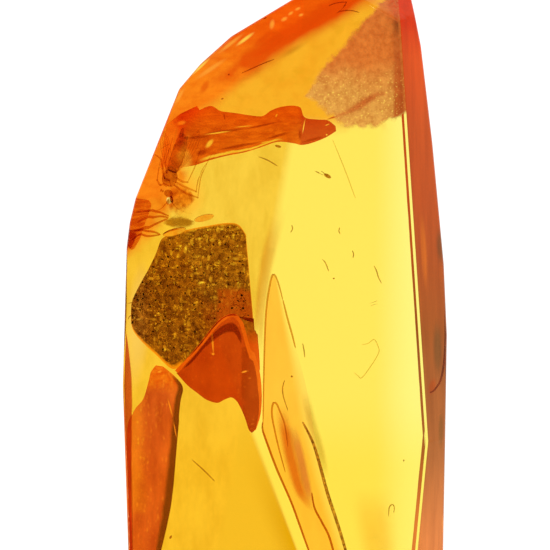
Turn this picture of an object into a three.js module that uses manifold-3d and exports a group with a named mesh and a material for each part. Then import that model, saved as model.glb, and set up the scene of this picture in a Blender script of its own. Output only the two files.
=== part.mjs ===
// A polished piece of natural amber lying on its broad back, in millimetres.
// X runs across the piece, Y along it towards the narrow tip, and Z up from the surface it rests on.
// The stone is cut as a lapidary cuts it: a rough block loses everything outside one flat after another.
import * as THREE from "three";
import { mergeVertices } from "three/addons/utils/BufferGeometryUtils.js";
import Module from "manifold-3d";

const LENGTH = 55.2; // tip to foot
const WIDTH = 25.8; // at the widest
const THICKNESS = 13.6; // from the resting face to the front face
const GIRDLE = 6.2; // height at which the sides stand out furthest
const LEAN_ABOVE = 3; // degrees that a side leans in above the girdle
const LEAN_RIGHT = 2; // the same on the right side, which was ground nearly upright
const LEAN_BELOW = 14; // and below it
const LEAN_LEFT = 5; // below it on the left side, which stands nearly upright
const ALLOWANCE = 6; // rough block left around the finished stone on every side
const AMBER = { color: 0xe8921c, roughness: 0.12, metalness: 0 };

// A cut is a plane. "facing" is the compass direction of its outward normal in plan, in degrees
// anticlockwise from +X; "slope" is how steeply it falls away, 0 being level and 90 upright;
// it passes "reach" from the centre line along that direction at height "at".

// The sides, by direction and distance, anticlockwise from the right edge's upper end.
const SIDES = [
  { facing: 11.3, reach: 14.64, lean: LEAN_RIGHT },
  { facing: 6.8, reach: 13.2, lean: LEAN_RIGHT },
  { facing: 5.4, reach: 12.92, lean: LEAN_RIGHT },
  { facing: 2.5, reach: 12.8, lean: LEAN_RIGHT },
  { facing: -1, reach: 12.95, lean: LEAN_RIGHT },
  { facing: -14, reach: 18.1 },
  { facing: -38, reach: 25.6 },
  { facing: -68, reach: 28.7 },
  { facing: -90, reach: LENGTH / 2 },
  { facing: -112, reach: 28.6 },
  { facing: -138, reach: 25.7 },
  { facing: -164, reach: 18.2, under: LEAN_LEFT },
  { facing: -178.1, reach: 13.12, under: LEAN_LEFT },
  { facing: 178.4, reach: 12.74, under: LEAN_LEFT },
  { facing: 173, reach: 13.08, under: LEAN_LEFT },
  { facing: 166.5, reach: 13.56, under: LEAN_LEFT },
  { facing: 158.3, reach: 14.2, under: LEAN_LEFT },
  { facing: 139.5, reach: 17.55 },
  { facing: 132, reach: 18.72 },
  { facing: 121, reach: 20.48 },
  { facing: 103, reach: 24.9 },
  { facing: 78, reach: LENGTH / 2 + 0.6 },
  { facing: 42, reach: 24.8 },
];

// The front: one broad level face, three slightly sloping ones beside it and the bevels round them.
const FRONT = [
  { facing: 0, slope: 0, reach: 0, at: THICKNESS }, // main face
  { facing: 170, slope: 6.5, reach: 1.8, at: THICKNESS }, // upper left face
  { facing: 200.6, slope: 6, reach: 5.6, at: THICKNESS }, // lower left face
  { facing: 3.8, slope: 36, reach: 10.37, at: THICKNESS }, // right bevel
  { facing: 8.9, slope: 35, reach: 12.5, at: THICKNESS }, // right bevel, towards the tip
  { facing: -5.5, slope: 36, reach: 12.05, at: THICKNESS }, // right bevel, towards the foot
  { facing: 123, slope: 27, reach: 17, at: THICKNESS }, // shoulder
  { facing: 131, slope: 38, reach: 18.3, at: 12.6 }, // outer shoulder
  { facing: 160, slope: 24, reach: 11.9, at: 12.6 }, // left shoulder
  { facing: 97, slope: 30, reach: 24, at: THICKNESS }, // tip
  { facing: 60, slope: 40, reach: 23.6, at: THICKNESS }, // tip, right
  { facing: -90, slope: 38, reach: 22.8, at: THICKNESS }, // foot
  { facing: -45, slope: 50, reach: 22.6, at: THICKNESS }, // foot, right
  { facing: -140, slope: 42, reach: 21.2, at: THICKNESS }, // foot, left
];

// The back: the level face it rests on, and the flats that turn up to the sides.
const BACK = [
  { facing: 0, slope: 180, reach: 0, at: 0 }, // resting face
  { facing: 126, slope: 158, reach: 14.2, at: 0 }, // shoulder
  { facing: 85, slope: 150, reach: 22.4, at: 0 }, // tip
  { facing: 4, slope: 128, reach: 11.2, at: 0 }, // right
  { facing: -60, slope: 132, reach: 25, at: 0 }, // foot, right
  { facing: -90, slope: 140, reach: 24.6, at: 0 }, // foot
  { facing: -125, slope: 132, reach: 24.8, at: 0 }, // foot, left
];

// A side is two cuts that meet at the girdle, so that the piece is fullest there.
const sideCuts = SIDES.flatMap(({ facing, reach, lean = LEAN_ABOVE, under = LEAN_BELOW }) => [
  { facing, slope: 90 - lean, reach, at: GIRDLE },
  { facing, slope: 90 + under, reach, at: GIRDLE },
]);

const wasm = await Module();
wasm.setup();

// A closed three.js geometry as a manifold-3d solid.
function solidFrom(geometry) {
  const bare = geometry.clone();
  bare.deleteAttribute("normal");
  bare.deleteAttribute("uv");
  const merged = mergeVertices(bare);
  return new wasm.Manifold(
    new wasm.Mesh({
      numProp: 3,
      vertProperties: merged.attributes.position.array,
      triVerts: new Uint32Array(merged.index.array),
    }),
  );
}

// A manifold-3d solid as a three.js geometry.
function geometryFrom(solid) {
  const { numProp, numVert, vertProperties, triVerts } = solid.getMesh();
  const places = new Float32Array(numVert * 3);
  for (let i = 0; i < numVert; i++) {
    const start = i * numProp;
    places.set(vertProperties.subarray(start, start + 3), i * 3);
  }
  const geometry = new THREE.BufferGeometry();
  geometry.setAttribute("position", new THREE.BufferAttribute(places, 3));
  geometry.setIndex(new THREE.BufferAttribute(triVerts, 1));
  const facets = geometry.toNonIndexed(); // each facet keeps its own flat shading
  facets.computeVertexNormals();
  return facets;
}

// The waste that one cut takes off: a box whose underside lies on the cut's plane.
function wasteOf({ facing, slope, reach, at }) {
  const turn = THREE.MathUtils.degToRad(facing);
  const fall = THREE.MathUtils.degToRad(slope);
  const outward = new THREE.Vector3(
    Math.sin(fall) * Math.cos(turn),
    Math.sin(fall) * Math.sin(turn),
    Math.cos(fall),
  );
  const side = 4 * LENGTH;
  const waste = new THREE.BoxGeometry(side, side, side).translate(0, 0, side / 2);
  const up = new THREE.Vector3(0, 0, 1);
  waste.applyQuaternion(new THREE.Quaternion().setFromUnitVectors(up, outward));
  waste.translate(reach * Math.cos(turn), reach * Math.sin(turn), at);
  return solidFrom(waste);
}

// The rough block, larger than the finished stone by the allowance.
function roughBlock() {
  const block = new THREE.BoxGeometry(
    WIDTH + 2 * ALLOWANCE,
    LENGTH + 2 * ALLOWANCE,
    THICKNESS + 2 * ALLOWANCE,
  );
  return solidFrom(block.translate(0, 0, THICKNESS / 2));
}

let stone = roughBlock();
for (const cut of [...sideCuts, ...FRONT, ...BACK]) stone = stone.subtract(wasteOf(cut));

const amber = new THREE.Mesh(geometryFrom(stone), new THREE.MeshStandardMaterial(AMBER));
amber.name = "amber";

// The flats leave the stone a little off centre, so it is moved until the middle of its
// bounding box stands over the origin. Its resting face already lies at Z = 0.
const middle = new THREE.Box3().setFromObject(amber).getCenter(new THREE.Vector3());
amber.position.set(-middle.x, -middle.y, 0);

const piece = new THREE.Group();
piece.add(amber);

export default piece;
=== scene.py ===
import math
import random

import bmesh
import bpy
from mathutils import Matrix, Vector, noise


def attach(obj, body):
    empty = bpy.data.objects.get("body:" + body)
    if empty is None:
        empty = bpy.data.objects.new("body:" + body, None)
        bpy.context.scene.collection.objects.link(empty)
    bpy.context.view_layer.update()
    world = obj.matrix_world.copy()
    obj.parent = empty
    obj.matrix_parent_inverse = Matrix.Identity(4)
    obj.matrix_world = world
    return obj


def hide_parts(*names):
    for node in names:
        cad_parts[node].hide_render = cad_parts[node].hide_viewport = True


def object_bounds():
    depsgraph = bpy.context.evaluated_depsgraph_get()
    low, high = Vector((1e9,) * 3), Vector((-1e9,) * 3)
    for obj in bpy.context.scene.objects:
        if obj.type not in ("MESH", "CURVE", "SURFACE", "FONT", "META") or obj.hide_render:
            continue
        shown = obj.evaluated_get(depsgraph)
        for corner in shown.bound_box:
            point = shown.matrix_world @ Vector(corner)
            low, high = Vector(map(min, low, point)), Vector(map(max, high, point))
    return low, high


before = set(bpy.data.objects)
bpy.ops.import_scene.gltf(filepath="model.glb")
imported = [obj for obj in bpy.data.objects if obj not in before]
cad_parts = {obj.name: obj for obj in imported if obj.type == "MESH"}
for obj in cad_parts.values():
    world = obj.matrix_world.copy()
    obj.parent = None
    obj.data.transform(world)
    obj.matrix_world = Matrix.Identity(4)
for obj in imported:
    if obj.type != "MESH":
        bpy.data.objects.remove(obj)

cad_low, cad_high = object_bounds()
MM = 0.001


# The camera looks straight down on the stone, as someone does who studies it on a light table.
# A long lens keeps the stone's sides nearly parallel.
LENS = 200  # millimetres, on a 36 mm sensor
SENSOR = 36
FIELD = 44 * MM  # the width that fills the frame, at the stone's widest level
GIRDLE = 6.2 * MM  # height of that level
AIM = Vector((-0.72, 2.57, 0)) * MM

camera_data = bpy.data.cameras.new("camera")
camera_data.lens = LENS
camera_data.sensor_width = SENSOR
camera_data.clip_start = 0.01
camera = bpy.data.objects.new("camera", camera_data)
camera.location = AIM + Vector((0, 0, GIRDLE + FIELD * LENS / SENSOR))
bpy.context.collection.objects.link(camera)
bpy.context.scene.camera = camera
bpy.context.scene.view_settings.view_transform = "Standard"
bpy.context.scene.cycles.transparent_max_bounces = 32
bpy.context.scene.cycles.max_bounces = 16
bpy.context.scene.cycles.transmission_bounces = 16


# The floor is the white opal top of a light table. It glows evenly, so that the stone is lit
# from below, and it stops a hair under the stone's resting face.
FLOOR_SIZE = 3.0
FLOOR_GAP = 0.05 * MM
FLOOR_GLOW = 1.12


def node(tree, kind, inputs=None, **settings):
    made = tree.nodes.new("ShaderNode" + kind)
    for name, value in settings.items():
        setattr(made, name, value)
    for key, value in (inputs or {}).items():
        if isinstance(value, bpy.types.NodeSocket):
            tree.links.new(value, made.inputs[key])
        else:
            made.inputs[key].default_value = value
    return made


def fresh_material(name):
    material = bpy.data.materials.new(name)
    material.use_nodes = True
    return material, material.node_tree, material.node_tree.nodes["Principled BSDF"]


def add_object(name, mesh, *materials):
    data = bpy.data.meshes.new(name)
    mesh.to_mesh(data)
    mesh.free()
    for material in materials:
        data.materials.append(material)
    made = bpy.data.objects.new(name, data)
    bpy.context.collection.objects.link(made)
    return made


def opal_white():
    material, tree, shader = fresh_material("opal_white")
    shader.inputs["Base Color"].default_value = (0.1, 0.1, 0.1, 1)
    shader.inputs["Roughness"].default_value = 0.9
    shader.inputs["Specular IOR Level"].default_value = 0.0
    shader.inputs["Emission Color"].default_value = (1, 1, 1, 1)
    shader.inputs["Emission Strength"].default_value = FLOOR_GLOW
    return material


floor_mesh = bmesh.new()
bmesh.ops.create_grid(floor_mesh, x_segments=1, y_segments=1, size=FLOOR_SIZE / 2)
bmesh.ops.translate(floor_mesh, verts=floor_mesh.verts, vec=(0, 0, cad_low.z - FLOOR_GAP))
floor = add_object("light_table", floor_mesh, opal_white())

# The room is white near the floor and dark overhead, as in a studio with its lamps kept low,
# so that the polished top mirrors little and shows the colour inside it.
ROOM_LOW = (1.0, 0.99, 0.97, 1)
ROOM_HIGH = (0.035, 0.033, 0.03, 1)


def studio_room():
    world = bpy.data.worlds.new("studio_room")
    world.use_nodes = True
    tree = world.node_tree
    upward = node(tree, "SeparateXYZ", {0: node(tree, "TexCoord").outputs["Generated"]})
    steep = {"Value": upward.outputs["Z"], "From Min": 0.12, "From Max": 0.5}
    rise = node(tree, "MapRange", steep, interpolation_type="SMOOTHSTEP").outputs["Result"]
    inputs = {0: rise, 6: ROOM_LOW, 7: ROOM_HIGH}
    shade = node(tree, "Mix", inputs, data_type="RGBA").outputs[2]
    tree.links.new(shade, tree.nodes["Background"].inputs["Color"])
    return world


bpy.context.scene.world = studio_room()


def softbox(name, azimuth, elevation, distance, width, power):
    lamp = bpy.data.lights.new(name, "AREA")
    lamp.size = width
    lamp.energy = power
    made = bpy.data.objects.new(name, lamp)
    turn, rise = math.radians(azimuth), math.radians(elevation)
    away = Vector((math.cos(turn) * math.cos(rise), math.sin(turn) * math.cos(rise), math.sin(rise)))
    made.location = away * distance
    made.rotation_euler = away.to_track_quat("Z", "Y").to_euler()
    bpy.context.collection.objects.link(made)


# Both lamps stand where no flat of the stone mirrors them to the eye, only its rounded edges.
softbox("softbox_left", 198, 50, 0.6, 0.14, 0.5)
softbox("softbox_right", 50, 66, 0.6, 0.1, 0.2)


# The stone is one piece of clear honey-yellow amber, ground to flats and polished. Its corners
# and edges are a little worn, so that each carries a thin bright line. The weathered rind that
# the polisher left on the right side and the shoulder stains it red-brown there.
EDGE_ROUND = 0.22 * MM
CORNER_MERGE = 0.35 * MM

# What each part of the skin lets through. A colour here is the square of the tint it gives,
# because a clear skin takes the square root of its colour where light goes through it.
CLEAR = (1, 1, 1, 1)
MAIN = (1, 0.76, 0.25, 1)
GOLDEN = (0.77, 0.385, 0.036, 1)
GOLDEN_LOW = (0.815, 0.327, 0.0122, 1)
TIP_ORANGE = (0.845, 0.22, 0.0071, 1)
TIP_CLOUD = (0.78, 0.17, 0.004, 1)
BAND_LIGHT = (0.96, 0.062, 0.0006, 1)
BAND_UPPER = (0.8, 0.014, 0.00004, 1)
BAND_DARK = (0.56, 0.0048, 0.00001, 1)
# Painted highlights on the shoulder band: bright streaks and paler creases.
BAND_GLINT = (1, 0.42, 0.06, 1)
BAND_CREASE_HIGHLIGHT = (0.95, 0.14, 0.012, 1)
HAZE = (0.7, 0.17, 0.003, 1)
HAZE_DARK = (0.36, 0.1, 0.002, 1)
HALO_LIGHT = (0.84, 0.09, 0.0012, 1)
HALO_DARK = (0.62, 0.036, 0.0002, 1)
HALO_PALE = (1, 0.22, 0.006, 1)
# Painted shade along the edge of the lower left flat.
GOLD_SHADE = (0.6, 0.2, 0.0002, 1)
FROST_HIGH = (0.5, 0.034, 0.011, 1)
FROST_LOW = (0.58, 0.135, 0.075, 1)
FROST_SIDE = (0.31, 0.0185, 0.007, 1)
FROST_CORNER = (0.42, 0.003, 0.00002, 1)
FROST_GRAIN = (0.3, 0.03, 0.015, 1)
# Painted highlights: sparkling grains on the matte patch.
FROST_SPARKLE = (0.9, 0.5, 0.2, 1)
FOOT_YELLOW = (1, 0.9, 0.45, 1)
# Painted highlight: a pale strip along the left rim.
RIM_HIGHLIGHT_COLOUR = (0.9, 0.42, 0.14, 1)
SIDE_STAIN = (
    (24.6, (0.42, 0.0004, 0.00001, 1)),
    (22.0, (0.5, 0.001, 0.00001, 1)),
    (19.5, (0.52, 0.0068, 0.0013, 1)),
    (14, (0.334, 0.0075, 0.0022, 1)),
    (8.4, (0.26, 0.0068, 0.0027, 1)),
    (-2, (0.13, 0.009, 0.0036, 1)),
    (-11.6, (0.2, 0.022, 0.021, 1)),
    (-18, (0.56, 0.061, 0.06, 1)),
)
SIDE_MARKS_AND_HIGHLIGHT = [
    ((10.85, 4.4, 93, 6.6, 0.6), (0.42, 0.023, 0.0032, 1)),
    ((12.2, 4.8, 93, 3.6, 0.9), (0.035, 0.0045, 0.005, 1)),
    ((11.95, -3.2, 91, 5.4, 1.0), (0.035, 0.006, 0.005, 1)),
    ((11.5, -6.1, 75, 1.7, 0.8), (0.2, 0.006, 0.0003, 1)),
    ((12.2, -9.5, 89, 4.0, 0.6), (0.06, 0.009, 0.006, 1)),
    # Painted highlight: a pale streak low on the right side.
    ((12.5, -17.6, 97, 3.4, 0.3), (0.9, 0.14, 0.12, 1)),
    ((8.95, 21.6, 80, 1.0, 0.3), (0.2, 0.004, 0.0003, 1)),
]

# Where they lie. A region is a list of straight cuts: the compass direction of each, in degrees
# anticlockwise from +X, and its distance in millimetres from the middle of the stone. A point
# in the region is beyond every cut. A spot is x, y, direction, length and width.
UPPER_LEFT = [(169.9, 1.8)]
LOWER_LEFT = [(200.6, 5.7)]
TIP = [(90, 14.2), (120, 10.0)]
SHOULDER = [(121.3, 17.0), (125.8, 16.2), (164.2, 11.7)]
SHOULDER_FOOT = (90, 8.6)
HALO = [(141.5, 11.84), (-90, -15.2), (180, 7.8)]
HEAD_GLOW = (-7.9, 9.0, 110, 5.4, 4.0)
# Painted highlight along the left rim.
PAINTED_RIM_HIGHLIGHT = (-11.4, -1.4, 86, 11.0, 2.2)
FROST = [(-40.9, -9.88), (-27.9, -6.13), (50.7, 13.93), (90, 14.1), (113.2, 10.17)]
FROST_EDGE = (0, 8.5)
RIGHT_SIDE = [(3.8, 10.45), (8.9, 12.58), (-5.5, 12.1)]
# Painted highlights: bright streaks on the shoulder band.
GLINTS = [
    (-6.55, 18.8, 42, 2.4, 0.3),
    (-3.05, 20.95, 37, 2.0, 0.36),
]
# Painted highlight: a clear window in the skin's stain over the gnat's eye, so that the eye shows bright.
EYE_GLINT = (-8.96, 8.38, 100, 0.62, 0.46)
HAZE_STREAKS = [(-2.7, 18.1, 28, 3.6, 0.8), (0.6, 20.0, 30, 3.0, 0.7)]
# Creases in the band, painted paler as highlights.
CREASE_HIGHLIGHTS = [
    (0.0, 22.5, 30, 0.7, 0.4),
    (0.5, 22.95, 35, 0.6, 0.3),
    (1.05, 23.3, 25, 0.6, 0.3),
    (1.3, 22.8, 20, 0.5, 0.3),
    (-0.95, 22.1, 80, 1.0, 0.5),
    (-5.75, 18.6, 33, 3.4, 0.5),
    (-4.2, 20.6, 38, 3.0, 0.4),
    (-8.2, 16.5, 60, 2.0, 0.4),
]
SMUDGES = [
    (-1.8, 20.8, 40, 2.2, 0.7),
    (-0.9, 20.4, 30, 4.5, 0.6),
    (2.2, 22.2, 34, 4.5, 0.7),
    (-6.2, 17.2, 60, 1.6, 0.8),
    (-10.4, 13.2, 65, 3.0, 0.5),
]


def stone_mesh():
    mesh = bmesh.new()
    mesh.from_mesh(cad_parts["amber"].data)
    bmesh.ops.remove_doubles(mesh, verts=mesh.verts, dist=CORNER_MERGE)
    flat = math.radians(0.8)
    bmesh.ops.dissolve_limit(mesh, angle_limit=flat, verts=mesh.verts, edges=mesh.edges)
    worn = [edge for edge in mesh.edges if max(vert.co.z for vert in edge.verts) > CORNER_MERGE]
    bmesh.ops.bevel(
        mesh,
        geom=worn,
        offset=EDGE_ROUND,
        offset_type="OFFSET",
        affect="EDGES",
        segments=3,
        profile=0.5,
        material=-1,
        clamp_overlap=True,
    )
    bmesh.ops.recalc_face_normals(mesh, faces=mesh.faces)
    for face in mesh.faces:
        face.smooth = True
    for edge in mesh.edges:
        edge.smooth = max(vert.co.z for vert in edge.verts) > 0.01 * MM
    return mesh


def math_node(tree, operation, first, second=0.0, clamp=False):
    inputs = {0: first, 1: second}
    return node(tree, "Math", inputs, operation=operation, use_clamp=clamp).outputs[0]


def place_in_stone(tree):
    return node(tree, "TexCoord").outputs["Object"]


def beyond(tree, facing, reach):
    """How far a point lies past a straight cut, in millimetres."""
    turn = math.radians(facing)
    direction = (math.cos(turn) / MM, math.sin(turn) / MM, 0)
    inputs = {0: place_in_stone(tree), 1: direction}
    along = node(tree, "VectorMath", inputs, operation="DOT_PRODUCT").outputs["Value"]
    return math_node(tree, "SUBTRACT", along, reach)


def wander(tree, size, strength, seed=0.0, detail=3.0):
    """A noise about zero whose spots are about size millimetres across."""
    inputs = {"Vector": place_in_stone(tree), "Scale": 1 / (size * MM), "Detail": detail, "W": seed}
    cloud = node(tree, "TexNoise", inputs, noise_dimensions="4D").outputs["Fac"]
    return math_node(tree, "MULTIPLY", math_node(tree, "SUBTRACT", cloud, 0.5), strength * 2)


def soft_step(tree, value, low, high):
    inputs = {"Value": value, "From Min": low, "From Max": high}
    return node(tree, "MapRange", inputs, interpolation_type="SMOOTHSTEP").outputs["Result"]


def region(tree, cuts, soft, wobble=None):
    """1 inside the cuts and 0 outside, over an edge of the given softness."""
    inside = None
    for facing, reach in cuts:
        far = beyond(tree, facing, reach)
        inside = far if inside is None else math_node(tree, "MINIMUM", inside, far)
    if wobble is not None:
        inside = math_node(tree, "ADD", inside, wobble)
    return soft_step(tree, inside, -soft, soft)


def either(tree, first, second):
    return math_node(tree, "MAXIMUM", first, second)


def both(tree, first, second):
    return math_node(tree, "MULTIPLY", first, second)


def tint(tree, factor, below, colour, mode="MIX"):
    inputs = {0: factor, 6: below, 7: colour}
    return node(tree, "Mix", inputs, data_type="RGBA", blend_type=mode).outputs[2]


def mottled(dark, light, size, contrast=0.3, stretch=None, seed=1.0):
    """A colour that wanders between a dark and a light one in spots of the given size."""
    def colour(tree):
        where = place_in_stone(tree)
        if stretch is not None:
            where = node(tree, "Mapping", {"Vector": where, "Scale": stretch}).outputs["Vector"]
        inputs = {"Vector": where, "Scale": 1 / (size * MM), "Detail": 5, "W": seed, "Roughness": 0.6}
        cloud = node(tree, "TexNoise", inputs, noise_dimensions="4D").outputs["Fac"]
        return tint(tree, soft_step(tree, cloud, 0.5 - contrast, 0.5 + contrast), dark, light)
    return colour


def height_above(tree, level, soft=0.2):
    split = node(tree, "SeparateXYZ", {0: place_in_stone(tree)})
    return soft_step(tree, split.outputs["Z"], (level - soft) * MM, (level + soft) * MM)


def side_stain_and_highlight(tree):
    split = node(tree, "SeparateXYZ", {0: place_in_stone(tree)})
    low_end, high_end = SIDE_STAIN[-1][0], SIDE_STAIN[0][0]
    inputs = {"Value": split.outputs["Y"], "From Min": low_end * MM, "From Max": high_end * MM}
    along = node(tree, "MapRange", inputs).outputs["Result"]
    ramp = node(tree, "ValToRGB", {"Fac": along})
    for step, (level, colour) in enumerate(reversed(SIDE_STAIN)):
        where = (level - low_end) / (high_end - low_end)
        if step < 2:
            stop = ramp.color_ramp.elements[step]
            stop.position = where
        else:
            stop = ramp.color_ramp.elements.new(where)
        stop.color = colour
    colour = ramp.outputs["Color"]
    # The marks are stains, all but one pale streak low down, which is a painted highlight.
    for place, mark in SIDE_MARKS_AND_HIGHLIGHT:
        colour = tint(tree, both(tree, spots(tree, [place]), 0.8), colour, mark)
    streaks = mottled((0.66, 0.56, 0.56, 1), (1.2, 1.2, 1.2, 1), 0.6, 0.26, (1, 0.05, 1), 5.0)(tree)
    return tint(tree, 1.0, colour, streaks, "MULTIPLY")


def furthest(tree, cuts):
    """How far a point lies past the cut it is furthest beyond."""
    found = None
    for facing, reach in cuts:
        far = beyond(tree, facing, reach)
        found = far if found is None else either(tree, found, far)
    return found


def spots(tree, places, soft=0.7):
    """1 in the middle of each long spot, fading to 0 at its rim."""
    found = None
    for x, y, facing, length, width in places:
        turn = math.radians(facing)
        lengthwise = beyond(tree, facing, x * math.cos(turn) + y * math.sin(turn))
        sideways = beyond(tree, facing + 90, y * math.cos(turn) - x * math.sin(turn))
        across = node(tree, "CombineXYZ", {0: lengthwise, 1: sideways})
        shape = {0: across.outputs[0], 1: (2 / length, 2 / width, 0)}
        scaled = node(tree, "VectorMath", shape, operation="MULTIPLY").outputs[0]
        far = node(tree, "VectorMath", {0: scaled}, operation="LENGTH").outputs["Value"]
        spot = soft_step(tree, far, 1, 1 - soft)
        found = spot if found is None else either(tree, found, spot)
    return found


def frost_colour(tree):
    high = soft_step(tree, math_node(tree, "ADD", beyond(tree, 90, 17.6), wander(tree, 2, 1.5)), -1.6, 2)
    colour = tint(tree, high, FROST_LOW, FROST_HIGH)
    edge = beyond(tree, *FROST_EDGE)
    colour = tint(tree, soft_step(tree, edge, -0.2, 0.15), colour, FROST_SIDE)
    corner = soft_step(tree, beyond(tree, 90, 22.4), -0.8, 1.2)
    corner = both(tree, corner, soft_step(tree, edge, -0.9, 0))
    colour = tint(tree, both(tree, corner, 0.9), colour, FROST_CORNER)
    grain = wander(tree, 0.16, 1.0, 4.0)
    dark_grain = both(tree, soft_step(tree, grain, -0.1, 0.35), 0.5)
    colour = tint(tree, dark_grain, colour, FROST_GRAIN)
    cloud = mottled((0.7, 0.5, 0.4, 1), (1.25, 1.6, 1.7, 1), 0.5, 0.22, None, 11.0)(tree)
    colour = tint(tree, 1.0, colour, cloud, "MULTIPLY")
    # Painted highlights: the palest grains on the lower part of the matte patch, as sparkle.
    sparkle = both(tree, soft_step(tree, grain, -0.18, -0.34), soft_step(tree, high, 0.9, 0.2))
    return tint(tree, sparkle, colour, FROST_SPARKLE)


def band_colour(tree, depth):
    """The rind on the shoulder, darkest along its inner side and creased further out, with painted
    highlights: bright streaks, and creases painted paler.
    """
    upper = soft_step(tree, math_node(tree, "ADD", beyond(tree, 90, 20), wander(tree, 1.5, 1.5)), -2, 2)
    colour = tint(tree, upper, BAND_LIGHT, BAND_UPPER)
    grain = mottled((0.78, 0.5, 0.3, 1), (1.0, 1.2, 1.5, 1), 0.9, 0.24, (0.6, 1.4, 1), 8.0)(tree)
    colour = tint(tree, 1.0, colour, grain, "MULTIPLY")
    high = math_node(tree, "ADD", beyond(tree, 90, 17.8), wander(tree, 1.5, 0.8, 9.0))
    inner = both(tree, soft_step(tree, depth, 2.3, 1.0), soft_step(tree, high, -1.2, 1.5))
    blotch = math_node(tree, "ADD", wander(tree, 1.3, 0.6, 8.0), inner)
    colour = tint(tree, both(tree, soft_step(tree, blotch, 0.2, 0.9), 0.9), colour, BAND_DARK)
    colour = tint(tree, both(tree, spots(tree, SMUDGES), 0.7), colour, BAND_DARK)
    # Painted highlights: the paler creases and the bright streaks.
    colour = tint(tree, both(tree, spots(tree, CREASE_HIGHLIGHTS, 0.9), 0.8), colour, BAND_CREASE_HIGHLIGHT)
    return tint(tree, spots(tree, GLINTS, 0.9), colour, BAND_GLINT)


def flats_colour(tree):
    """The level main face is clear, and the two flats to its left are golden and a little cloudy, with
    painted shade along the lower left flat's edge and a painted highlight along the left rim.
    """
    pale = soft_step(tree, beyond(tree, 0, 8.6), -1.8, 1.8)
    colour = tint(tree, pale, MAIN, CLEAR)
    colour = tint(tree, region(tree, UPPER_LEFT, 0.45), colour, GOLDEN)
    colour = tint(tree, region(tree, LOWER_LEFT, 0.25), colour, GOLDEN_LOW)
    # Painted shade: lower down, the lower left flat darkens towards its edge with the next flat.
    near_cut = soft_step(tree, beyond(tree, *LOWER_LEFT[0]), 2.0, 0.1)
    low = soft_step(tree, beyond(tree, -90, 13), -4, 5)
    edge_shade = both(tree, both(tree, region(tree, LOWER_LEFT, 0.1), near_cut), low)
    colour = tint(tree, edge_shade, colour, GOLD_SHADE)
    foot = soft_step(tree, beyond(tree, -90, 13), -7, 0)
    colour = tint(tree, foot, colour, FOOT_YELLOW, "MULTIPLY")
    clouds = mottled((0.9, 0.8, 0.55, 1), (1.14, 1.16, 1.4, 1), 1.8, 0.2, (1.4, 0.6, 1), 14.0)(tree)
    colour = tint(tree, region(tree, UPPER_LEFT, 0.45), colour, clouds, "MULTIPLY")
    # Painted highlight: a pale strip along the left rim.
    return tint(tree, both(tree, spots(tree, [PAINTED_RIM_HIGHLIGHT], 0.8), 0.8), colour, RIM_HIGHLIGHT_COLOUR)


def halo_colour(tree):
    """The stain round the gnat, darker towards the stone's left rim."""
    rim = math_node(tree, "ADD", beyond(tree, 160, 12.9), wander(tree, 0.9, 0.5))
    blotch = soft_step(tree, wander(tree, 1.1, 1.0, 2.0), -0.1, 0.45)
    halo = tint(tree, blotch, HALO_LIGHT, HALO_DARK)
    return tint(tree, soft_step(tree, rim, -0.9, 0.6), halo, HALO_DARK)


def hazy(tree, colour):
    """Brown haze in drifts and streaks, above the veil."""
    haze = soft_step(tree, wander(tree, 1.1, 1.0, 12.0, 6.0), 0.02, 0.4)
    haze = both(tree, haze, region(tree, [(90, 14.4), (170, -7.0)], 1.0))
    colour = tint(tree, both(tree, haze, 0.8), colour, HAZE)
    return tint(tree, both(tree, spots(tree, HAZE_STREAKS, 0.9), 0.8), colour, HAZE_DARK)


def amber_colour(tree):
    """The tint of the stone's skin: what each ground face and the rind let through, with some painted
    highlights and painted shade laid into it.
    """
    cloudy = soft_step(tree, wander(tree, 1.6, 1.0, 6.0, 6.0), -0.2, 0.3)
    cloud = tint(tree, cloudy, TIP_ORANGE, TIP_CLOUD)
    colour = tint(tree, region(tree, TIP, 1.0, wander(tree, 3, 1.0)), flats_colour(tree), cloud)
    colour = tint(tree, spots(tree, [HEAD_GLOW], 0.9), colour, HALO_PALE)
    halo = region(tree, HALO, 0.5, wander(tree, 1.4, 1.0, 4.0))
    colour = hazy(tree, tint(tree, halo, colour, halo_colour(tree)))
    depth = math_node(tree, "ADD", furthest(tree, SHOULDER), wander(tree, 2.5, 0.35, 3.0))
    foot = region(tree, [SHOULDER_FOOT], 0.3, wander(tree, 1.2, 0.5, 5.0))
    band = both(tree, soft_step(tree, depth, -0.8, 0.5), foot)
    colour = tint(tree, band, colour, band_colour(tree, depth))
    frost = region(tree, FROST, 0.22, wander(tree, 0.6, 0.5, 3.0, 6.0))
    colour = tint(tree, frost, colour, frost_colour(tree))
    front = height_above(tree, GIRDLE / MM)
    side = soft_step(tree, furthest(tree, RIGHT_SIDE), -0.02, 0.02)
    colour = tint(tree, front, CLEAR, colour)
    colour = tint(tree, side, colour, side_stain_and_highlight(tree))
    # Painted highlight over the gnat's eye.
    colour = tint(tree, spots(tree, [EYE_GLINT], 0.4), colour, CLEAR)
    frost_only = both(tree, both(tree, front, frost), math_node(tree, "SUBTRACT", 1.0, side))
    return colour, frost_only


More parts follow.
